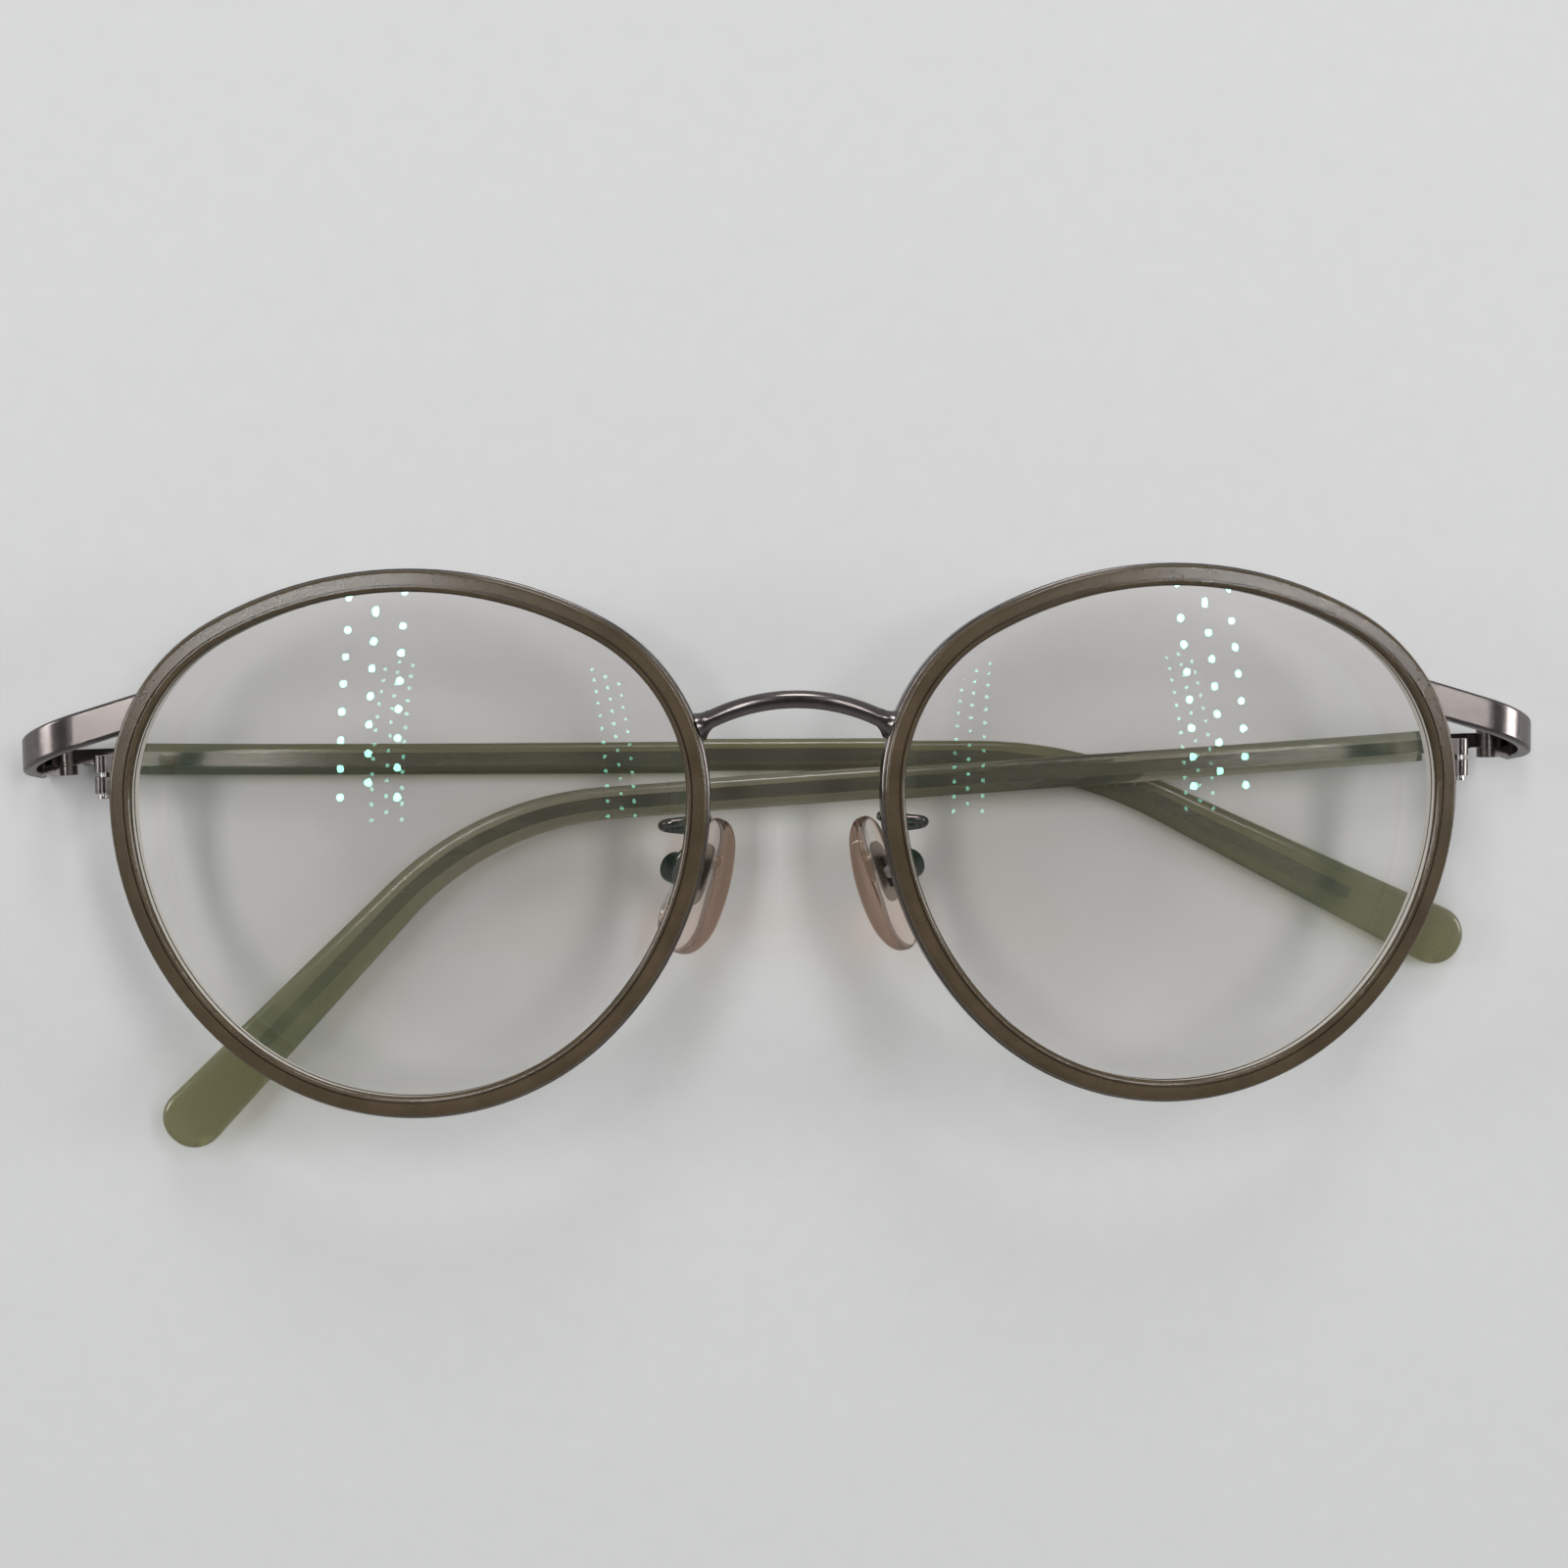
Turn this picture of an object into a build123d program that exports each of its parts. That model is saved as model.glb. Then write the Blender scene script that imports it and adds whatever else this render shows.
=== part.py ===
"""Round combination eyeglasses, folded and lying face up.

Metal eyewires are wrapped in acetate rims. The front is modelled flat, with its middle at the
origin, +X to the wearer's left, +Y to the brow and +Z forward. Everything is modelled on the
left, and what the right side shares is mirrored. The last step lays the folded pair down.
Millimetres and degrees.
"""

import os
from math import asin, cos, degrees, radians, sin, sqrt, tan

from build123d import *

# Lens shape: bevel tip to bevel tip, and where its arcs meet
lens_width = 51.0
lens_height = 46.6
bridge_width = 18.0  # between the two lens shapes
widest_above_middle = 4.4
shoulder_angle = 61.0  # from the widest point up to the top arc
side_angle = 45.0  # from the widest point down to the bottom arc
eye_wrap_angle = 3.0  # each eye turns back this much towards its temple

# Lens body
lens_centre_thickness = 1.2
lens_front_radius = 132.0
lens_back_radius = 72.0
lens_bulge = 3.3  # front vertex ahead of the bevel
lens_bevel_depth = 0.6
lens_clearance = 0.03

# Acetate rim and the metal eyewire in its outer channel
rim_depth = 3.0
rim_inside = 0.7  # how far the acetate covers the lens edge
rim_outside = 1.2  # how far it stands out past the bevel tip
rim_rounding = 0.4
lip_width = 0.45  # inner lip, set off from the face by a cut line
lip_line_width = 0.16
lip_line_depth = 0.2
wire_outside = 1.4
wire_thickness = 0.75
wire_depth = 1.7
wire_rounding = 0.25
wire_clearance = 0.02

# Closing block, which clamps the eyewire round the lens
slit_above_middle = 6.65
slit_width = 0.4
block_radius = 0.85
block_length = 1.5
block_stand_off = 0.75  # block axis outside the eyewire
closing_screw_radius = 0.4
closing_head_radius = 0.62
closing_head_height = 0.45
closing_clearance = 0.03

# Bridge
bridge_foot_above_middle = 10.4
bridge_rise = 2.3
bridge_reach = 1.2  # how far its middle stands forward
bridge_radius = 0.8
bridge_foot_radius = 1.4
bridge_foot_length = 1.5

# End piece: a polished strap that leaves the rim, turns back and carries the hinge
strap_above_middle = 12.0
strap_height = 3.15
strap_thickness = 1.2
strap_bend_radius = 6.0
strap_fall_outwards_angle = 17.0
strap_fall_backwards_angle = 7.0
strap_past_pin = 1.25
strap_rounding = 0.3

# Hinge
hinge_x = 68.25
hinge_above_middle = 8.0
hinge_behind_front = 8.6
knuckle_radius = 1.2
knuckle_height = 0.9
middle_knuckle_height = 1.4
knuckle_gap = 0.05
leaf_plate = 0.3
hinge_screw_radius = 0.55
hinge_head_radius = 0.9
hinge_head_height = 0.35
screw_slot = 0.25
screw_clearance = 0.04

# Temples
temple_length = 140.0  # pin to tip along the middle line
temple_below_pin = 1.6  # sleeve's middle behind the pin when folded
temple_drop_angle = 1.9  # the arm's slope from square to its pin
pin_lean_angle = 1.35  # both pins lean to the wearer's right
left_to_bend = 97.0
right_to_bend = 95.5
left_bend_radius = 31.0
right_bend_radius = 44.0
left_ear_angle = 42.2
right_ear_angle = 26.0
sleeve_start = 6.1
sleeve_thickness = 2.2
sleeve_start_height = 3.0
sleeve_bend_height = 3.15
sleeve_tip_height = 6.0
sleeve_tip_radius = 2.8
sleeve_rounding = 0.8
fold_gap = 0.3  # between the two folded temples
shank_start = 1.45
shank_height = 1.5
shank_thickness = 1.0
core_height = 1.25
core_thickness = 0.8
core_short_of_tip = 12.0
core_clearance = 0.03
leaf_length = 4.6
leaf_thickness = 0.8

# Nose pads
pad_x = 8.35
pad_below_middle = 5.0
pad_behind_front = 7.0
pad_flare_angle = 20.0  # the lower end stands this much further out
pad_splay_angle = 30.0  # the rear edge stands this much further out
pad_lower_radius = 3.5
pad_upper_radius = 2.5
pad_spacing = 7.4  # between the centres of those two rounds
pad_thickness = 2.5
pad_crown_radius = 18.0  # the face that rests on the nose is crowned
pad_rounding = 0.5
insert_radius = 1.5
insert_spacing = 3.0
insert_above_middle = 1.1  # towards the pad's upper end
insert_behind_middle = 0.5  # towards the pad's back
insert_thickness = 0.5
insert_clearance = 0.02
lug_thickness = 1.0
lug_radius = 0.65
pad_pivot = 0.9  # from the pad's back to the rocking axis
box_length = 3.0
box_wall = 0.5
box_back_thickness = 1.3
box_rounding = 1.45
box_gap = 0.25  # room for the pad and its lug to rock
box_side_gap = 0.05
pad_screw_radius = 0.38
pad_head_radius = 0.6
pad_head_height = 0.35
arm_radius = 0.45
arm_above_middle = 1.9
arm_bend_radius = 0.8
arm_behind_wire = 2.6
arm_loop_width = 4.0
arm_loop_back = 3.5
arm_loop_fall = 0.42  # over each of its three runs
arm_loop_depth = 1.65

half_width = lens_width / 2
top_reach = lens_height / 2 - widest_above_middle
bottom_reach = lens_height / 2 + widest_above_middle
eye_x = (lens_width + bridge_width) / 2
wrap = radians(eye_wrap_angle)
eye = Plane(origin=(eye_x, 0, 0), x_dir=(cos(wrap), 0, -sin(wrap)), z_dir=(sin(wrap), 0, cos(wrap)))
across_eye = Axis(eye.origin, eye.z_dir)

pieces = {}


def keep(name, piece):
    """Files a finished piece under its name."""
    pieces[name] = piece.part


def keep_pair(name, piece):
    """Files a left piece and its mirror image as the right one."""
    keep("left_" + name, piece)
    with BuildPart() as twin:
        mirror(piece.part, about=Plane.YZ)
    keep("right_" + name, twin)


def arc_radii(reach, turn):
    """Radii of the side arc and the end arc that join with one tangent after `turn` degrees."""
    spread = (reach - half_width) / (cos(radians(turn)) + sin(radians(turn)) - 1)
    return half_width + spread * cos(radians(turn)), reach - spread * sin(radians(turn))


def eye_face(grow, mode=Mode.ADD):
    """The lens shape grown evenly by `grow`, as a face of the sketch being built."""
    with BuildLine() as outline:
        for reach, turn, up in ((top_reach, shoulder_angle, 1), (bottom_reach, side_angle, -1)):
            side_radius, end_radius = arc_radii(reach, turn)
            side_middle = (half_width - side_radius, widest_above_middle)
            end_middle = (0, widest_above_middle + up * (reach - end_radius))
            CenterArc(side_middle, side_radius + grow, 0, up * turn)
            CenterArc(end_middle, end_radius + grow, up * turn, up * (90 - turn))
        mirror(about=Plane.YZ)
    make_face(outline.edges(), mode=mode)


def eye_edge(height, grow):
    """Half the width of the grown lens shape on its side arcs, at a height from its middle."""
    rise = height - widest_above_middle
    reach, turn = (top_reach, shoulder_angle) if rise > 0 else (bottom_reach, side_angle)
    side_radius = arc_radii(reach, turn)[0]
    return half_width - side_radius + sqrt((side_radius + grow) ** 2 - rise**2)


def eye_disc(grow, half_depth, mode=Mode.ADD, taper=0):
    """The grown lens shape extruded to both sides of the eye plane."""
    with BuildSketch(eye) as shape:
        eye_face(grow)
    extrude(shape.sketch, amount=half_depth, both=True, taper=taper, mode=mode)


# ---------------------------------------------------------------- lens
# Minus meniscus with a bevel ground round its edge
with BuildPart() as lens:
    eye_disc(-rim_inside - lens_clearance, 2 * lens_bulge)
    eye_disc(-lens_clearance, lens_bevel_depth, taper=45)
    with Locations(eye.offset(lens_bulge - lens_front_radius)):
        Sphere(lens_front_radius, rotation=(90, 0, 0), mode=Mode.INTERSECT)
    with Locations(eye.offset(lens_bulge - lens_centre_thickness - lens_back_radius)):
        Sphere(lens_back_radius, rotation=(90, 0, 0), mode=Mode.SUBTRACT)
keep_pair("lens", lens)

# ---------------------------------------------------------------- acetate rim
# Rounded ring, grooved inside for the lens bevel and outside for the eyewire, notched for the pad arm
arm_x = eye_edge(arm_above_middle, wire_outside) - wire_thickness / 2
with BuildPart() as rim:
    with BuildSketch(eye):
        eye_face(rim_outside)
        eye_face(-rim_inside, mode=Mode.SUBTRACT)
    extrude(amount=rim_depth / 2, both=True)
    fillet(rim.faces().filter_by(across_eye).edges(), rim_rounding)
    with BuildSketch(eye.offset(rim_depth / 2)):
        eye_face(lip_width - rim_inside + lip_line_width)
        eye_face(lip_width - rim_inside, mode=Mode.SUBTRACT)
    extrude(amount=-lip_line_depth, mode=Mode.SUBTRACT)
    eye_disc(0, lens_bevel_depth, mode=Mode.SUBTRACT, taper=45)
    with BuildSketch(eye):
        eye_face(rim_outside + wire_outside)
        eye_face(wire_outside - wire_thickness - wire_clearance, mode=Mode.SUBTRACT)
    extrude(amount=wire_depth / 2 + wire_clearance, both=True, mode=Mode.SUBTRACT)
    with BuildSketch(eye):
        with Locations((-arm_x, arm_above_middle)):
            SlotCenterPoint((0, 0), (-rim_outside, 0), 2 * (arm_radius + wire_clearance))
    extrude(amount=-rim_depth, mode=Mode.SUBTRACT)
keep_pair("rim_acetate", rim)

# ---------------------------------------------------------------- eyewire
# Flat metal band round the rim, cut through at the closing block
block_x = eye_edge(slit_above_middle, wire_outside) + block_stand_off
with BuildPart() as eyewire:
    with BuildSketch(eye):
        eye_face(wire_outside)
    extrude(amount=wire_depth / 2, both=True)
    fillet(eyewire.faces().filter_by(across_eye).edges(), wire_rounding)
    eye_disc(wire_outside - wire_thickness, wire_depth, mode=Mode.SUBTRACT)
    with BuildSketch(eye):
        with Locations((block_x, slit_above_middle)):
            Rectangle(4 * block_radius, slit_width)
    extrude(amount=wire_depth, both=True, mode=Mode.SUBTRACT)
keep_pair("eyewire", eyewire)

# ---------------------------------------------------------------- closing block
# Two half barrels on the cut ends of the eyewire, drawn together by a screw from below
closing_screw_length = closing_head_height + 2 * block_length + slit_width - block_radius / 2


def closing_block(bottom):
    """One half barrel whose lower end lies at `bottom`, bored for the screw and seated on the wire."""
    with BuildPart() as block:
        with BuildSketch(Plane(eye.from_local_coords((0, bottom, 0)), eye.x_dir, (0, 1, 0))):
            with Locations((block_x, 0)):
                Circle(block_radius)
            with Locations((block_x - block_stand_off, 0)):
                Rectangle(2 * block_stand_off, 1.6 * block_radius)
            with Locations((block_x, 0)):
                Circle(closing_screw_radius + closing_clearance, mode=Mode.SUBTRACT)
        extrude(amount=block_length)
        eye_disc(wire_outside, 2 * wire_depth, mode=Mode.SUBTRACT)
    return block


keep_pair("closing_block_upper", closing_block(slit_above_middle + slit_width / 2))
keep_pair("closing_block_lower", closing_block(slit_above_middle - slit_width / 2 - block_length))

screw_foot = slit_above_middle - slit_width / 2 - block_length - closing_head_height
with BuildPart() as closing_screw:
    foot = Plane(eye.from_local_coords((block_x, screw_foot, 0)), eye.x_dir, (0, 1, 0))
    with BuildSketch(foot):
        Circle(closing_screw_radius)
    extrude(amount=closing_screw_length)
    with BuildSketch(foot):
        Circle(closing_head_radius)
    extrude(amount=closing_head_height)
    with BuildSketch(foot):
        Rectangle(screw_slot, 2 * closing_head_radius)
    extrude(amount=closing_head_height / 2, mode=Mode.SUBTRACT)
keep_pair("closing_screw", closing_screw)

# ---------------------------------------------------------------- bridge
# Round wire arch, flared where it is brazed to the eyewires; one half is made and mirrored
foot_edge = eye_edge(bridge_foot_above_middle, wire_outside)
left_foot = eye.from_local_coords((-foot_edge, bridge_foot_above_middle, 0))
bridge_top = (0, bridge_foot_above_middle + bridge_rise, left_foot.Z + bridge_reach)
with BuildPart() as bridge:
    with BuildLine() as arch:
        ThreePointArc(left_foot, bridge_top, (-left_foot.X, left_foot.Y, left_foot.Z))
    left_end = Plane(arch.line ^ 0)
    with BuildSketch(left_end):
        Circle(bridge_radius)
    sweep(path=arch.wire())
    with BuildSketch(Plane(left_end.origin, left_end.x_dir, -left_end.y_dir)):
        with BuildLine():
            Polyline(
                (bridge_radius, bridge_foot_length),
                (0, bridge_foot_length),
                (0, -wire_outside),
                (bridge_foot_radius, -wire_outside),
                (bridge_foot_radius, 0),
            )
            TangentArc(
                (bridge_radius, bridge_foot_length), (bridge_foot_radius, 0), tangent=(0, -1)
            )
        make_face()
    revolve(axis=Axis(left_end.origin, left_end.z_dir))
    eye_disc(wire_outside, 2 * wire_depth, mode=Mode.SUBTRACT)
    split(bisect_by=Plane.YZ)
    mirror(about=Plane.YZ)
keep("bridge", bridge)

# ---------------------------------------------------------------- end piece
# Bent from flat strip; its two edges fall outwards along the front and backwards past the bend
strap_inner_x = hinge_x + knuckle_radius + knuckle_gap + leaf_plate
strap_middle_x = strap_inner_x + strap_thickness / 2
strap_root = eye.from_local_coords((eye_edge(strap_above_middle, wire_outside), strap_above_middle, 0))
strap_end_z = -hinge_behind_front - strap_past_pin
edge_normal = Vector(tan(radians(strap_fall_outwards_angle)), 1, -tan(radians(strap_fall_backwards_angle)))
with BuildPart() as end_piece:
    with BuildSketch(Plane.XZ):
        with BuildLine() as strap_bend:
            FilletPolyline(
                (strap_root.X - wire_outside, strap_root.Z),
                (strap_middle_x, strap_root.Z),
                (strap_middle_x, strap_end_z),
                radius=strap_bend_radius,
            )
        trace(line_width=strap_thickness)
    extrude(amount=lens_height, both=True)
    for side in (1, -1):
        edge = Plane(strap_root + Vector(0, side * strap_height / 2, 0), z_dir=edge_normal * side)
        split(bisect_by=edge, keep=Keep.BOTTOM)
    long_faces = end_piece.faces().filter_by(Axis((0, 0, 0), edge_normal))
    fillet(long_faces.edges().filter_by(lambda e: e.length > 2 * strap_thickness), strap_rounding)
    eye_disc(wire_outside, 2 * wire_depth, mode=Mode.SUBTRACT)
keep_pair("end_piece", end_piece)

# ---------------------------------------------------------------- hinges and temples
# Folded, the two arms lie parallel, the left one straight above the right one
fold_angle = degrees(asin((sleeve_thickness + fold_gap) / (2 * hinge_x)))
hinge_height = 2 * knuckle_height + 2 * knuckle_gap + middle_knuckle_height
bore_radius = hinge_screw_radius + screw_clearance


def keep_side(side, name, piece):
    """Files a piece that was made on the left under its side, mirrored if that is the right."""
    if side == "right":
        with BuildPart() as twin:
            mirror(piece.part, about=Plane.YZ)
        piece = twin
    keep(f"{side}_{name}", piece)


def flat_band(bend_x, bend_radius, turn, length, height):
    """A band from the shank's start with one tangent bend, in the sketch being built."""
    after = length - bend_x
    tip = (bend_x + after * cos(turn), -after * sin(turn))
    with BuildLine() as middle:
        FilletPolyline((shank_start, 0), (bend_x, 0), tip, radius=bend_radius)
    trace(middle.edges(), line_width=height)


left_bend = (left_to_bend, left_bend_radius, radians(left_ear_angle))
right_bend = (right_to_bend, right_bend_radius, radians(right_ear_angle))
for side, lean, tilt, ear_bend in (
    ("left", pin_lean_angle, fold_angle, left_bend),
    ("right", -pin_lean_angle, -fold_angle, right_bend),
):
    # Local +X runs along the folded arm, +Y up the pin and +Z away from the front
    pin_middle = Vector(hinge_x, hinge_above_middle, -hinge_behind_front)
    rise, run = sin(radians(tilt)), cos(radians(tilt))
    folded = Plane(pin_middle, x_dir=(-run, 0, rise), z_dir=(-rise, 0, -run))
    pin = Plane(folded.location * Location((0, 0, 0), (0, 0, -lean)))
    arm = Plane(pin.location * Location((0, 0, temple_below_pin), (0, 0, -temple_drop_angle)))
    across_front = Plane(pin_middle, x_dir=(-1, 0, 0), z_dir=pin.y_dir)
    across_pin = Plane(pin_middle, x_dir=pin.x_dir, z_dir=pin.y_dir)
    pin_top = Plane(pin_middle + pin.y_dir * hinge_height / 2, x_dir=pin.x_dir, z_dir=-pin.y_dir)

    # Front leaf: two knuckles on one plate, soldered to the inner face of the end piece
    with BuildPart() as front_leaf:
        plate_x = -knuckle_radius - knuckle_gap - leaf_plate
        with BuildSketch(across_front):
            Circle(knuckle_radius)
            with Locations((plate_x / 2, 0)):
                Rectangle(-plate_x, 2 * knuckle_radius)
        extrude(amount=hinge_height / 2, both=True)
        with BuildSketch(across_front):
            with Locations((plate_x + leaf_plate, 0)):
                Rectangle(
                    4 * knuckle_radius, 4 * knuckle_radius, align=(Align.MIN, Align.CENTER)
                )
        extrude(amount=middle_knuckle_height / 2 + knuckle_gap, both=True, mode=Mode.SUBTRACT)
        with Locations(pin_top):
            Cylinder(bore_radius, 2 * hinge_height, mode=Mode.SUBTRACT)
            Cylinder(
                hinge_head_radius + screw_clearance, 2 * hinge_head_height, mode=Mode.SUBTRACT
            )
        add(end_piece.part, mode=Mode.SUBTRACT)
    keep_side(side, "front_hinge_leaf", front_leaf)

    # Hinge screw: countersunk flush at the top, slotted
    with BuildPart() as hinge_screw:
        with BuildSketch(pin_top):
            Circle(hinge_screw_radius)
        extrude(amount=hinge_height)
        with BuildSketch(pin_top):
            Circle(hinge_head_radius)
        extrude(amount=hinge_head_height)
        with BuildSketch(pin_top):
            Rectangle(screw_slot, 2 * hinge_head_radius)
        extrude(amount=hinge_head_height / 2, mode=Mode.SUBTRACT)
    keep_side(side, "hinge_screw", hinge_screw)

    # Temple leaf: the middle knuckle on a flat plate that lies on the temple's shank
    with BuildPart() as temple_leaf:
        plate_under = temple_below_pin - shank_thickness / 2
        with BuildSketch(across_pin):
            Circle(knuckle_radius)
            with Locations((0, -plate_under)):
                Rectangle(leaf_length, leaf_thickness, align=(Align.MIN, Align.MIN))
            Circle(bore_radius, mode=Mode.SUBTRACT)
        extrude(amount=middle_knuckle_height / 2, both=True)
    keep_side(side, "temple_hinge_leaf", temple_leaf)

    # Metal core: the bare shank by the hinge, then a flat wire through the sleeve
    with BuildPart() as core:
        with BuildSketch(arm):
            flat_band(*ear_bend, temple_length - core_short_of_tip, core_height)
        extrude(amount=core_thickness / 2, both=True)
        with BuildSketch(arm):
            with Locations((shank_start, 0)):
                Rectangle(
                    sleeve_start - shank_start, shank_height, align=(Align.MIN, Align.CENTER)
                )
        extrude(amount=shank_thickness / 2, both=True)
    keep_side(side, "temple_core", core)

    # Acetate sleeve: slim along the side of the head, bent at the ear, widening to a round tip
    with BuildPart() as sleeve:
        bend_x, bend_radius, turn = ear_bend
        start, bend, tip = (h / 2 for h in (sleeve_start_height, sleeve_bend_height, sleeve_tip_height))
        tip_x = bend_x + (temple_length - bend_x) * cos(turn)
        tip_y = -(temple_length - bend_x) * sin(turn)
        with BuildSketch(arm):
            with BuildLine():
                FilletPolyline(
                    (sleeve_start, start),
                    (bend_x + bend * tan(turn / 2), bend),
                    (tip_x + tip * sin(turn), tip_y + tip * cos(turn)),
                    (tip_x - tip * sin(turn), tip_y - tip * cos(turn)),
                    (bend_x - bend * tan(turn / 2), -bend),
                    (sleeve_start, -start),
                    radius=(
                        0,
                        bend_radius + bend,
                        sleeve_tip_radius,
                        sleeve_tip_radius,
                        bend_radius - bend,
                        0,
                    ),
                    close=True,
                )
            make_face()
        extrude(amount=sleeve_thickness / 2, both=True)
        across_arm = Axis(arm.origin, arm.z_dir)
        fillet(sleeve.faces().filter_by(across_arm).edges(), sleeve_rounding)
        with BuildSketch(arm):
            flat_band(
                *ear_bend,
                temple_length - core_short_of_tip + core_clearance,
                core_height + 2 * core_clearance,
            )
        extrude(amount=core_thickness / 2 + core_clearance, both=True, mode=Mode.SUBTRACT)
    keep_side(side, "temple_sleeve", sleeve)

# ---------------------------------------------------------------- nose pads
# Local +X runs up the pad, +Y to its rear edge and +Z to the nose
flare, splay = radians(pad_flare_angle), radians(pad_splay_angle)
to_nose = Vector(-cos(flare) * cos(splay), -sin(flare) * cos(splay), -sin(splay))
up_pad = Vector(-sin(flare), cos(flare), 0)
pad = Plane((pad_x, -pad_below_middle, -pad_behind_front), x_dir=up_pad, z_dir=to_nose)
held = Plane(pad.from_local_coords((insert_above_middle, 0, 0)), x_dir=pad.x_dir, z_dir=pad.z_dir)
insert_middle = held.offset(-insert_behind_middle)
along_pad = Plane(held.origin, x_dir=pad.y_dir, z_dir=pad.x_dir)
pivot = pad_thickness / 2 + pad_pivot
pad_side = Plane(held.from_local_coords((0, 0, -pivot)), x_dir=pad.x_dir, z_dir=pad.y_dir)
screw_bore = pad_screw_radius + screw_clearance

# Metal insert: a rounded plate moulded into the pad, with a pierced lug behind
with BuildPart() as insert:
    with BuildSketch(insert_middle):
        SlotCenterToCenter(insert_spacing, 2 * insert_radius)
    extrude(amount=insert_thickness / 2, both=True)
    with BuildSketch(pad_side):
        Circle(lug_radius)
        Rectangle(2 * lug_radius, pivot - insert_behind_middle, align=(Align.CENTER, Align.MAX))
        Circle(screw_bore, mode=Mode.SUBTRACT)
    extrude(amount=lug_thickness / 2, both=True)
keep_pair("pad_insert", insert)

# Soft pad: a teardrop cushion round the insert
with BuildPart() as cushion:
    lower_x = -(pad_spacing + pad_upper_radius - pad_lower_radius) / 2
    with BuildSketch(pad):
        with Locations((lower_x, 0)):
            Circle(pad_lower_radius)
        with Locations((lower_x + pad_spacing, 0)):
            Circle(pad_upper_radius)
        make_hull()
    extrude(amount=pad_thickness, both=True)
    split(bisect_by=pad.offset(-pad_thickness / 2), keep=Keep.TOP)
    with Locations(pad.offset(pad_thickness / 2 - pad_crown_radius)):
        Sphere(pad_crown_radius, rotation=(90, 0, 0), mode=Mode.INTERSECT)
    fillet(cushion.edges(), pad_rounding)
    with BuildSketch(insert_middle):
        SlotCenterToCenter(insert_spacing, 2 * (insert_radius + insert_clearance))
    extrude(amount=insert_thickness / 2 + insert_clearance, both=True, mode=Mode.SUBTRACT)
    with BuildSketch(insert_middle):
        Rectangle(2 * (lug_radius + insert_clearance), lug_thickness + 2 * insert_clearance)
    extrude(amount=-pad_thickness, mode=Mode.SUBTRACT)
keep_pair("nose_pad", cushion)

# Pad box: a folded channel, round behind, that takes the lug between its walls
box_half_gap = lug_thickness / 2 + box_side_gap
box_floor = pivot + lug_radius + box_gap
with BuildPart() as pad_box:
    with BuildSketch(along_pad):
        with Locations((0, -pad_thickness / 2 - box_gap)):
            Rectangle(
                2 * (box_half_gap + box_wall),
                box_floor + box_back_thickness - pad_thickness / 2 - box_gap,
                align=(Align.CENTER, Align.MAX),
            )
    extrude(amount=box_length / 2, both=True)
    across_pad = Axis(held.origin, pad.y_dir)
    back_edges = pad_box.edges().filter_by(across_pad).sort_by(Axis(held.origin, pad.z_dir))[:2]
    fillet(back_edges, box_rounding)
    with BuildSketch(along_pad):
        with Locations((0, -box_floor)):
            Rectangle(2 * box_half_gap, box_floor, align=(Align.CENTER, Align.MIN))
    extrude(amount=box_length, both=True, mode=Mode.SUBTRACT)
    with BuildSketch(pad_side):
        Circle(screw_bore)
    extrude(amount=box_length, both=True, mode=Mode.SUBTRACT)
keep_pair("pad_box", pad_box)

# Pad screw: headed on the front wall of the box, its end just through the rear wall
with BuildPart() as pad_screw:
    head_seat = pad_side.offset(-box_half_gap - box_wall)
    with BuildSketch(head_seat):
        Circle(pad_screw_radius)
    extrude(amount=2 * (box_half_gap + box_wall) + screw_clearance)
    with BuildSketch(head_seat):
        Circle(pad_head_radius)
    extrude(amount=-pad_head_height)
    with BuildSketch(head_seat.offset(-pad_head_height)):
        Rectangle(screw_slot, 2 * pad_head_radius)
    extrude(amount=pad_head_height / 2, mode=Mode.SUBTRACT)
keep_pair("pad_screw", pad_screw)

# Pad arm: wire soldered behind the eyewire, bent out and back in a hairpin, then down to the box
with BuildPart() as pad_arm:
    fall = Vector(0, -arm_loop_fall, 0)
    root = eye.from_local_coords((-arm_x, arm_above_middle, wire_rounding - wire_depth / 2))
    loop_start = eye.from_local_coords((-arm_x, arm_above_middle, -wire_depth / 2 - arm_behind_wire))
    loop_out = loop_start + Vector(arm_loop_width, 0, 0) + fall
    loop_in = loop_out - Vector(0, 0, arm_loop_depth) + fall
    loop_end = loop_in - Vector(arm_loop_back, 0, 0) + fall
    seat = held.from_local_coords((0, 0, -box_floor - box_back_thickness / 2))
    with BuildLine() as route:
        FilletPolyline(root, loop_start, loop_out, loop_in, loop_end, seat, radius=arm_bend_radius)
    with BuildSketch(Plane(route.wire() ^ 0)):
        Circle(arm_radius)
    sweep(path=route.wire())
    add(eyewire.part, mode=Mode.SUBTRACT)
    add(pad_box.part, mode=Mode.SUBTRACT)
keep_pair("pad_arm", pad_arm)

# ---------------------------------------------------------------- laid down
# The right arm lies flat on the table; the origin is under the middle of the outline
rest_height = (
    temple_below_pin
    + sleeve_thickness / 2
    + hinge_x * sin(radians(fold_angle))
    + hinge_behind_front * cos(radians(fold_angle))
)
laid_down = Location((0, 0, rest_height), (0, -fold_angle, 0))
middle = Compound([part.moved(laid_down) for part in pieces.values()]).bounding_box().center()
at_rest = Location((-middle.X, -middle.Y, 0)) * laid_down

os.makedirs("parts", exist_ok=True)
for name, part in pieces.items():
    part.move(at_rest)
    part.label = name
    export_step(part, f"parts/{name}.step")
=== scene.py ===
"""Round combination eyeglasses, folded and lying face up on a pale table. Metres."""

from math import radians

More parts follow.
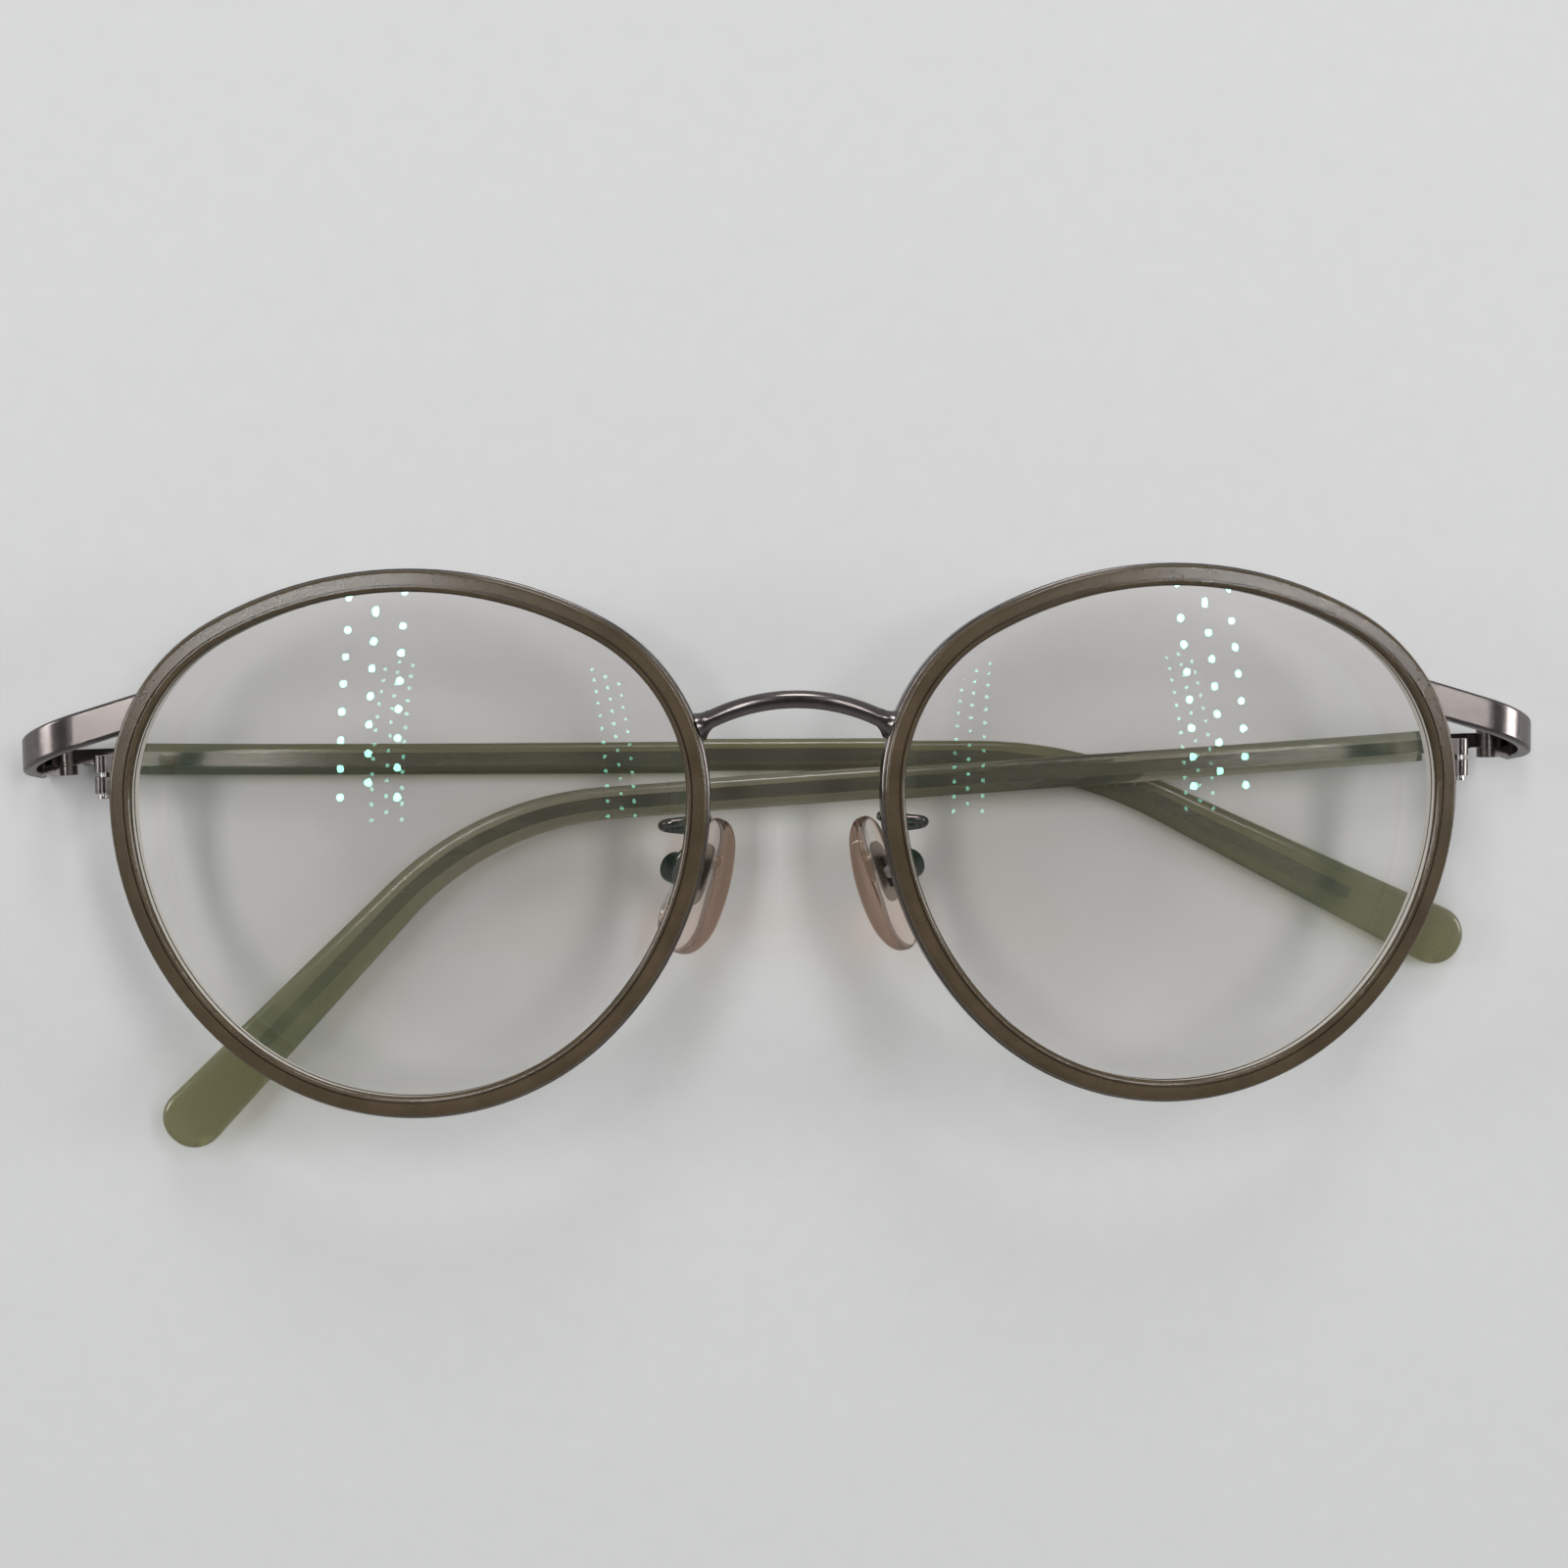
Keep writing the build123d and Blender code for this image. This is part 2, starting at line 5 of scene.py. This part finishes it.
import bmesh
import bpy
import numpy as np
from mathutils.bvhtree import BVHTree
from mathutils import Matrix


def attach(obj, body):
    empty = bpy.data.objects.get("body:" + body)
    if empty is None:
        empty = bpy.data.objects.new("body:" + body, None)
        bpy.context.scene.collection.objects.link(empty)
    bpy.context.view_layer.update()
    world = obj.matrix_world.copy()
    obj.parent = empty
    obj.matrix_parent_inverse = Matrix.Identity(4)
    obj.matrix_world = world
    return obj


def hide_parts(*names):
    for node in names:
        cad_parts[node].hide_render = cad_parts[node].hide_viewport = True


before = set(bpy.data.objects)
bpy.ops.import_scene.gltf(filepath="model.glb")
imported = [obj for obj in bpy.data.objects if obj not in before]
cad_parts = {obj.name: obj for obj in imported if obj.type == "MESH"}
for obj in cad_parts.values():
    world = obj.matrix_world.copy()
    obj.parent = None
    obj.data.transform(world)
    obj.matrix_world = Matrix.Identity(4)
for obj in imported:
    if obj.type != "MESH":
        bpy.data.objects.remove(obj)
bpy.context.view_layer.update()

# ---------------------------------------------------------------- lenses
# Minus lenses of cast optical resin, ground to shape, bevelled and coated.
# The bevel sits in the groove of the acetate rim, which is what holds them.


def colour(code):
    """A six-digit sRGB colour as linear red, green, blue and alpha."""
    parts = [int(code[i : i + 2], 16) / 255 for i in (0, 2, 4)]
    return [c / 12.92 if c <= 0.04045 else ((c + 0.055) / 1.055) ** 2.4 for c in parts] + [1.0]


def new_material(name):
    """An empty node material and its output."""
    material = bpy.data.materials.new(name)
    material.use_nodes = True
    material.node_tree.nodes.clear()
    return material, material.node_tree.nodes.new("ShaderNodeOutputMaterial")


def add_node(material, kind, settings=None, links=None):
    """Adds one node, with values for its properties or sockets and links into its sockets."""
    node = material.node_tree.nodes.new(kind)
    for key, value in (settings or {}).items():
        if isinstance(key, str) and key in node.bl_rna.properties:
            setattr(node, key, value)
        else:
            node.inputs[key].default_value = value
    for key, output in (links or {}).items():
        material.node_tree.links.new(output, node.inputs[key])
    return node


# The sockets of a Mix node that mixes two colours
SHARE, FIRST, SECOND, MIXED = 0, 6, 7, 2


def dress(material, *names):
    """Gives CAD nodes their finish."""
    for name in names:
        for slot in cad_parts[name].material_slots:
            slot.material = material


# CR-39 resin, cast, polished and coated: clear, with a faint green in its reflections, and
# ground matt and pale all round the edge, which shows through the front as a frosted band.
# The polished faces are the ones that lie nearly flat. The haze changes over about 17 mm.
lens_resin, lens_output = new_material("coated_lens_resin")
place = add_node(lens_resin, "ShaderNodeTexCoord")
facing = add_node(lens_resin, "ShaderNodeSeparateXYZ", {}, {0: place.outputs["Normal"]})
flat_share = add_node(
    lens_resin, "ShaderNodeMath", {"operation": "ABSOLUTE"}, {0: facing.outputs["Z"]}
)
ground = add_node(
    lens_resin,
    "ShaderNodeMapRange",
    {"From Min": 0.9, "From Max": 0.8, "To Min": 0.0, "To Max": 1.0},
    {"Value": flat_share.outputs[0]},
)
tooth = add_node(
    lens_resin,
    "ShaderNodeMapRange",
    {"To Min": 0.0, "To Max": 0.7},
    {"Value": ground.outputs[0]},
)
haze = add_node(
    lens_resin,
    "ShaderNodeTexNoise",
    {"Scale": 60.0, "Detail": 4.0},
    {"Vector": place.outputs["Object"]},
)
body_tone = add_node(
    lens_resin,
    "ShaderNodeMix",
    {"data_type": "RGBA", FIRST: colour("EFF0EE"), SECOND: colour("F4F5F3")},
    {SHARE: haze.outputs["Fac"]},
)
tone = add_node(
    lens_resin,
    "ShaderNodeMix",
    {"data_type": "RGBA", SECOND: colour("DAD2CC")},
    {SHARE: ground.outputs[0], FIRST: body_tone.outputs[MIXED]},
)
clear_share = add_node(
    lens_resin,
    "ShaderNodeMapRange",
    {"To Min": 1.0, "To Max": 0.1},
    {"Value": ground.outputs[0]},
)
resin = add_node(
    lens_resin,
    "ShaderNodeBsdfPrincipled",
    {"IOR": 1.5, "Specular Tint": colour("90FFDF")},
    {
        "Base Color": tone.outputs[MIXED],
        "Roughness": tooth.outputs[0],
        "Transmission Weight": clear_share.outputs[0],
    },
)


def let_light_through(material, output, surface, tint):
    """Lets lamps and room light shine through a clear piece, tinted, with no solid shadow."""
    clear = add_node(material, "ShaderNodeBsdfTransparent", {"Color": colour(tint)})
    ray = add_node(material, "ShaderNodeLightPath")
    for kind in ("Is Shadow Ray", "Is Diffuse Ray"):
        surface = add_node(
            material,
            "ShaderNodeMixShader",
            {},
            {0: ray.outputs[kind], 1: surface.outputs[0], 2: clear.outputs[0]},
        )
    material.node_tree.links.new(surface.outputs[0], output.inputs["Surface"])


let_light_through(lens_resin, lens_output, resin, "F4F4F2")
dress(lens_resin, "left_lens", "right_lens")

# ---------------------------------------------------------------- acetate rims
# Rings cut from cellulose acetate sheet, grooved for the lens and the eyewire, tumbled to a gloss.
# Each is warmed and sprung over the lens, and the eyewire screwed shut round it holds it there.

# Cellulose acetate: dark olive brown, translucent, with the sheet's faint clouding every 4.5 mm
rim_acetate, rim_output = new_material("olive_brown_acetate")
place = add_node(rim_acetate, "ShaderNodeTexCoord")
cloud = add_node(
    rim_acetate,
    "ShaderNodeTexNoise",
    {"Scale": 220.0, "Detail": 5.0, "Roughness": 0.6},
    {"Vector": place.outputs["Object"]},
)
tone = add_node(
    rim_acetate,
    "ShaderNodeMix",
    {"data_type": "RGBA", FIRST: colour("443927"), SECOND: colour("766650")},
    {SHARE: cloud.outputs["Fac"]},
)
ripple = add_node(
    rim_acetate,
    "ShaderNodeBump",
    {"Strength": 0.06, "Distance": 0.0001},
    {"Height": cloud.outputs["Fac"]},
)
rim_gloss = add_node(
    rim_acetate,
    "ShaderNodeBsdfPrincipled",
    {"Roughness": 0.17, "IOR": 1.48, "Transmission Weight": 0.4},
    {"Base Color": tone.outputs[MIXED], "Normal": ripple.outputs["Normal"]},
)
rim_acetate.node_tree.links.new(rim_gloss.outputs[0], rim_output.inputs["Surface"])
dress(rim_acetate, "left_rim_acetate", "right_rim_acetate")

# ---------------------------------------------------------------- eyewires, bridge, end pieces
# Nickel silver wire and strip, brazed together, polished and plated in gunmetal.
# The closing blocks, hinge leaves and the pad boxes with their arms are soldered on before plating.

# Gunmetal plating on polished nickel silver: dark mauve grey and glossy, with a faint unevenness.
# Real polishing marks are finer than a tenth of a millimetre. They are drawn 0.7 mm wide to show.
gunmetal, gunmetal_output = new_material("gunmetal_plating")
place = add_node(gunmetal, "ShaderNodeTexCoord")
polish = add_node(
    gunmetal,
    "ShaderNodeTexNoise",
    {"Scale": 1500.0, "Detail": 3.0},
    {"Vector": place.outputs["Object"]},
)
wear = add_node(
    gunmetal,
    "ShaderNodeMapRange",
    {"To Min": 0.16, "To Max": 0.24},
    {"Value": polish.outputs["Fac"]},
)
tone = add_node(
    gunmetal,
    "ShaderNodeMix",
    {"data_type": "RGBA", FIRST: colour("645E5C"), SECOND: colour("7E7775")},
    {SHARE: polish.outputs["Fac"]},
)
plating = add_node(
    gunmetal,
    "ShaderNodeBsdfPrincipled",
    {"Metallic": 1.0},
    {"Base Color": tone.outputs[MIXED], "Roughness": wear.outputs["Result"]},
)
gunmetal.node_tree.links.new(plating.outputs[0], gunmetal_output.inputs["Surface"])
sides = ("left", "right")
plated = (
    "eyewire",
    "closing_block_upper",
    "closing_block_lower",
    "end_piece",
    "front_hinge_leaf",
    "temple_hinge_leaf",
    "pad_box",
    "pad_arm",
)
dress(gunmetal, "bridge", *(f"{side}_{piece}" for side in sides for piece in plated))

# ---------------------------------------------------------------- screws
# Turned steel screws for the closing blocks, hinges and nose pads, with slotted heads.
# They are the only pieces that come undone, and keep the colour of bare steel.

# Bare steel: paler and a little rougher than the plating, with turning marks drawn 0.4 mm wide
screw_steel, screw_output = new_material("turned_steel")
place = add_node(screw_steel, "ShaderNodeTexCoord")
turning = add_node(
    screw_steel, "ShaderNodeTexNoise", {"Scale": 2500.0}, {"Vector": place.outputs["Object"]}
)
worn = add_node(
    screw_steel,
    "ShaderNodeMapRange",
    {"To Min": 0.2, "To Max": 0.38},
    {"Value": turning.outputs["Fac"]},
)
steel = add_node(
    screw_steel,
    "ShaderNodeBsdfPrincipled",
    {"Metallic": 1.0, "Base Color": colour("B5B2B0")},
    {"Roughness": worn.outputs["Result"]},
)
screw_steel.node_tree.links.new(steel.outputs[0], screw_output.inputs["Surface"])
screws = ("closing_screw", "hinge_screw", "pad_screw")
dress(screw_steel, *(f"{side}_{screw}" for side in sides for screw in screws))

# ---------------------------------------------------------------- temple cores
# Flat metal wires shot hot into the acetate sleeves, seen through them as a darker band.
# Their bare ends carry the hinge leaves.

# Drawn nickel silver: dark grey, with lengthwise lines left by the die, drawn 1.1 mm apart to show
core_metal, core_output = new_material("core_wire")
place = add_node(core_metal, "ShaderNodeTexCoord")
along = add_node(
    core_metal,
    "ShaderNodeMapping",
    {"Scale": (60.0, 900.0, 900.0)},
    {"Vector": place.outputs["Object"]},
)
drawn = add_node(core_metal, "ShaderNodeTexNoise", {"Scale": 1.0}, {"Vector": along.outputs[0]})
matt = add_node(
    core_metal,
    "ShaderNodeMapRange",
    {"To Min": 0.2, "To Max": 0.35},
    {"Value": drawn.outputs["Fac"]},
)
tone = add_node(
    core_metal,
    "ShaderNodeMix",
    {"data_type": "RGBA", FIRST: colour("504B45"), SECOND: colour("6E6861")},
    {SHARE: drawn.outputs["Fac"]},
)
wire = add_node(
    core_metal,
    "ShaderNodeBsdfPrincipled",
    {"Metallic": 1.0},
    {"Base Color": tone.outputs[MIXED], "Roughness": matt.outputs["Result"]},
)
core_metal.node_tree.links.new(wire.outputs[0], core_output.inputs["Surface"])
dress(core_metal, "left_temple_core", "right_temple_core")

# ---------------------------------------------------------------- temple sleeves
# Cellulose acetate, bent at the ear and widening to a rounded tip, polished all over.
# The hot core melts its way in, so the acetate closes round it with no gap to see.


def moulded_round(node, inside, body, material):
    """A copy of a CAD node that closes on the piece inside it, with no pocket, in its place."""
    pocket_gap = 0.00008
    same_spot = 1e-6
    core = bmesh.new()
    core.from_mesh(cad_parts[inside].data)
    core_skin = BVHTree.FromBMesh(core)
    core.free()
    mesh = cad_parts[node].data.copy()
    mesh.name = f"{node}_moulded"
    normals = np.zeros(3 * len(mesh.loops), np.float32)
    mesh.corner_normals.foreach_get("vector", normals)
    kept = mesh.attributes.new("kept_normal", "FLOAT_VECTOR", "CORNER")
    kept.data.foreach_set("vector", normals)
    skin = bmesh.new()
    skin.from_mesh(mesh)
    bmesh.ops.remove_doubles(skin, verts=skin.verts, dist=same_spot)
    near = {v for v in skin.verts if core_skin.find_nearest(v.co)[3] < pocket_gap}
    pocket = [f for f in skin.faces if near.issuperset(f.verts)]
    bmesh.ops.delete(skin, geom=pocket, context="FACES")
    mouth = [e for e in skin.edges if e.is_boundary]
    bmesh.ops.holes_fill(skin, edges=mouth, sides=0)
    bmesh.ops.recalc_face_normals(skin, faces=skin.faces)
    skin.to_mesh(mesh)
    skin.free()
    normals = np.zeros(3 * len(mesh.loops), np.float32)
    mesh.attributes["kept_normal"].data.foreach_get("vector", normals)
    mesh.attributes.remove(mesh.attributes["kept_normal"])
    mesh.normals_split_custom_set(normals.reshape(-1, 3).tolist())
    mesh.materials.clear()
    mesh.materials.append(material)
    piece = bpy.data.objects.new(f"{node}_moulded", mesh)
    bpy.context.scene.collection.objects.link(piece)
    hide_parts(node)
    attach(piece, body)


# Cellulose acetate: pale sage, translucent, milkier and greener where it widens to the tip,
# with clouding that changes over about 11 mm
sleeve_acetate, sleeve_output = new_material("sage_acetate")
place = add_node(sleeve_acetate, "ShaderNodeTexCoord")
milk = add_node(
    sleeve_acetate,
    "ShaderNodeTexNoise",
    {"Scale": 90.0, "Detail": 4.0},
    {"Vector": place.outputs["Object"]},
)
spot = add_node(sleeve_acetate, "ShaderNodeSeparateXYZ", {}, {0: place.outputs["Object"]})
towards_tip = add_node(
    sleeve_acetate,
    "ShaderNodeMapRange",
    {"From Min": 0.004, "From Max": -0.014, "To Min": 0.0, "To Max": 1.0},
    {"Value": spot.outputs["Y"]},
)
tone = add_node(
    sleeve_acetate,
    "ShaderNodeMix",
    {"data_type": "RGBA", FIRST: colour("B0AC98"), SECOND: colour("C0BCA8")},
    {SHARE: milk.outputs["Fac"]},
)
tip_tone = add_node(
    sleeve_acetate,
    "ShaderNodeMix",
    {"data_type": "RGBA", SECOND: colour("8E8C6A")},
    {SHARE: towards_tip.outputs[0], FIRST: tone.outputs[MIXED]},
)
clear_share = add_node(
    sleeve_acetate,
    "ShaderNodeMapRange",
    {"To Min": 0.88, "To Max": 0.6},
    {"Value": towards_tip.outputs[0]},
)
sleeve_gloss = add_node(
    sleeve_acetate,
    "ShaderNodeBsdfPrincipled",
    {"Roughness": 0.15, "IOR": 1.48},
    {"Base Color": tip_tone.outputs[MIXED], "Transmission Weight": clear_share.outputs[0]},
)
let_light_through(sleeve_acetate, sleeve_output, sleeve_gloss, "BDBA9C")
for side in sides:
    moulded_round(
        f"{side}_temple_sleeve",
        f"{side}_temple_core",
        f"{side}_temple",
        sleeve_acetate,
    )

# ---------------------------------------------------------------- nose pads
# Soft clear cushions moulded round a metal insert, whose lug rocks on a screw in the pad box.
# The silicone grips the insert all over, and only the lug comes out of its back.

# Clear silicone: colourless through its faces, and warm through the edge, the long way through it.
# The thin way is the direction in which the cushion's points spread least.
for side in sides:
    silicone, silicone_output = new_material(f"clear_silicone_{side}")
    points = np.array([v.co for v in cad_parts[f"{side}_nose_pad"].data.vertices])
    thin_way = np.linalg.svd(points - points.mean(0), full_matrices=False)[2][2]
    place = add_node(silicone, "ShaderNodeTexCoord")
    across = add_node(
        silicone,
        "ShaderNodeVectorMath",
        {"operation": "DOT_PRODUCT", 1: thin_way.tolist()},
        {0: place.outputs["Normal"]},
    )
    flatness = add_node(
        silicone, "ShaderNodeMath", {"operation": "ABSOLUTE"}, {0: across.outputs["Value"]}
    )
    warmth = add_node(
        silicone,
        "ShaderNodeMapRange",
        {"From Min": 0.95, "From Max": 0.5},
        {"Value": flatness.outputs[0]},
    )
    age = add_node(
        silicone, "ShaderNodeTexNoise", {"Scale": 150.0}, {"Vector": place.outputs["Object"]}
    )
    tone = add_node(
        silicone,
        "ShaderNodeMix",
        {"data_type": "RGBA", FIRST: colour("F5EEE9"), SECOND: colour("FAF5F2")},
        {SHARE: age.outputs["Fac"]},
    )
    edge_tone = add_node(
        silicone,
        "ShaderNodeMix",
        {"data_type": "RGBA", SECOND: colour("F6D2BC")},
        {SHARE: warmth.outputs[0], FIRST: tone.outputs[MIXED]},
    )
    soft = add_node(
        silicone,
        "ShaderNodeBsdfPrincipled",
        {"Roughness": 0.04, "IOR": 1.41, "Transmission Weight": 0.97},
        {"Base Color": edge_tone.outputs[MIXED]},
    )
    let_light_through(silicone, silicone_output, soft, "F0DCD0")
    moulded_round(f"{side}_nose_pad", f"{side}_pad_insert", f"{side}_pad", silicone)

# Stamped nickel silver: satin, unplated, with the stamping's grain drawn 0.8 mm wide
insert_metal, insert_output = new_material("stamped_insert")
place = add_node(insert_metal, "ShaderNodeTexCoord")
stamped = add_node(
    insert_metal, "ShaderNodeTexNoise", {"Scale": 1200.0}, {"Vector": place.outputs["Object"]}
)
satin = add_node(
    insert_metal,
    "ShaderNodeMapRange",
    {"To Min": 0.3, "To Max": 0.45},
    {"Value": stamped.outputs["Fac"]},
)
plate = add_node(
    insert_metal,
    "ShaderNodeBsdfPrincipled",
    {"Metallic": 1.0, "Base Color": colour("A39E94")},
    {"Roughness": satin.outputs["Result"]},
)
insert_metal.node_tree.links.new(plate.outputs[0], insert_output.inputs["Surface"])
dress(insert_metal, "left_pad_insert", "right_pad_insert")

# ---------------------------------------------------------------- table
# A pale matt table top that the folded pair lies on.
# It is laminate on board, and far wider than the pair.
bpy.ops.mesh.primitive_plane_add(size=4.0, location=(0, 0, 0))
table = bpy.context.object
table.name = "table"

# Laminate: pale neutral grey, matt, with a grain of about 2.5 mm
laminate, laminate_output = new_material("pale_laminate")
place = add_node(laminate, "ShaderNodeTexCoord")
grain = add_node(
    laminate,
    "ShaderNodeTexNoise",
    {"Scale": 400.0, "Detail": 6.0},
    {"Vector": place.outputs["Object"]},
)
tone = add_node(
    laminate,
    "ShaderNodeMix",
    {"data_type": "RGBA", FIRST: colour("D2D3D2"), SECOND: colour("D8D9D8")},
    {SHARE: grain.outputs["Fac"]},
)
matt_top = add_node(
    laminate,
    "ShaderNodeBsdfPrincipled",
    {"Roughness": 0.6},
    {"Base Color": tone.outputs[MIXED]},
)
laminate.node_tree.links.new(matt_top.outputs[0], laminate_output.inputs["Surface"])
table.data.materials.append(laminate)

# ---------------------------------------------------------------- lights
# Soft light from a pale room with a darker ceiling, from three low softboxes, and from two
# ceiling strips of small round lamps, which show as rows of dots in polished surfaces.
world = bpy.data.worlds.new("studio")
bpy.context.scene.world = world
world.use_nodes = True
sky = world.node_tree.nodes["Background"]
direction = add_node(world, "ShaderNodeTexCoord")
height = add_node(world, "ShaderNodeSeparateXYZ", {}, {0: direction.outputs["Generated"]})
span = add_node(
    world, "ShaderNodeMapRange", {"From Min": 0.35, "From Max": 1.0}, {"Value": height.outputs["Z"]}
)
shade = add_node(
    world,
    "ShaderNodeMix",
    {"data_type": "RGBA", FIRST: colour("E2E4E6"), SECOND: colour("6A686A")},
    {SHARE: span.outputs["Result"]},
)
world.node_tree.links.new(shade.outputs[MIXED], sky.inputs["Color"])
sky.inputs["Strength"].default_value = 0.5


def seen_by_coated_lenses(lamp, share, passes, reach):
    """Gives a lamp only a share of its strength in what a lens mirrors, as a coating does.

    A ray counts as mirrored by a lens where it was mirrored somewhere and has passed as many
    surfaces as passes says, give or take reach.
    """
    lamp.use_nodes = True
    ray = add_node(lamp, "ShaderNodeLightPath")
    at_lens = add_node(
        lamp,
        "ShaderNodeMath",
        {"operation": "COMPARE", 1: passes, 2: reach},
        {0: ray.outputs["Transmission Depth"]},
    )
    mirrored = add_node(
        lamp,
        "ShaderNodeMath",
        {"operation": "MULTIPLY"},
        {0: ray.outputs["Glossy Depth"], 1: at_lens.outputs[0]},
    )
    coated = add_node(
        lamp, "ShaderNodeMapRange", {"To Min": 1.0, "To Max": share}, {"Value": mirrored.outputs[0]}
    )
    glow = lamp.node_tree.nodes["Emission"]
    lamp.node_tree.links.new(coated.outputs["Result"], glow.inputs["Strength"])


def hang(lamp, spot):
    """Hangs a lamp at a spot, turned to the middle of the table."""
    holder = bpy.data.objects.new(lamp.name, lamp)
    holder.location = spot
    holder.rotation_euler = (-holder.location).to_track_quat("-Z", "Y").to_euler()
    bpy.context.scene.collection.objects.link(holder)


# Softboxes: none of their light comes back off the back of a lens, a way that passes its front
# face twice
softbox = bpy.data.lights.new("softbox", "AREA")
softbox.size = 0.4
softbox.energy = 4.2
seen_by_coated_lenses(softbox, 0.0, 2.0, 0.5)
for spot in ((-1.12, 0.2, 0.42), (0.1, 1.2, 0.65), (1.12, 0.1, 0.42)):
    hang(softbox, spot)

# Ceiling lamps: either face of a lens sends back three tenths of what bare resin would
strip_height = 1.0
strip_start = 0.02
first_columns = (-0.478, 0.432)
columns = 3
rows = 12
row_spacing = 0.06
column_spacing = 0.064
ceiling_lamp = bpy.data.lights.new("ceiling_lamp", "AREA")
ceiling_lamp.shape = "DISK"
ceiling_lamp.size = 0.016
ceiling_lamp.energy = 0.095
seen_by_coated_lenses(ceiling_lamp, 0.3, 1.0, 1.5)
for first_column in first_columns:
    for column in range(columns):
        for row in range(rows):
            across = first_column + column * column_spacing
            along = strip_start + (row + column % 2 / 2) * row_spacing
            hang(ceiling_lamp, (across, along, strip_height))

# ---------------------------------------------------------------- camera
# Held close above the bridge, looking almost straight down.
# Its field is wide, because it is nearly as close as the pair is broad.
field_of_view = radians(49.5)
nearest_thing = 0.005
camera_spot = (-0.01081, 0.01483, 0.16621)
camera_turn = (-0.048786, -0.063536, -0.011249)
camera = bpy.data.cameras.new("camera")
camera.sensor_fit = "HORIZONTAL"
camera.angle = field_of_view
camera.clip_start = nearest_thing
tripod = bpy.data.objects.new("camera", camera)
tripod.location = camera_spot
tripod.rotation_euler = camera_turn
bpy.context.scene.collection.objects.link(tripod)
bpy.context.scene.camera = tripod
bpy.context.scene.view_settings.view_transform = "Standard"
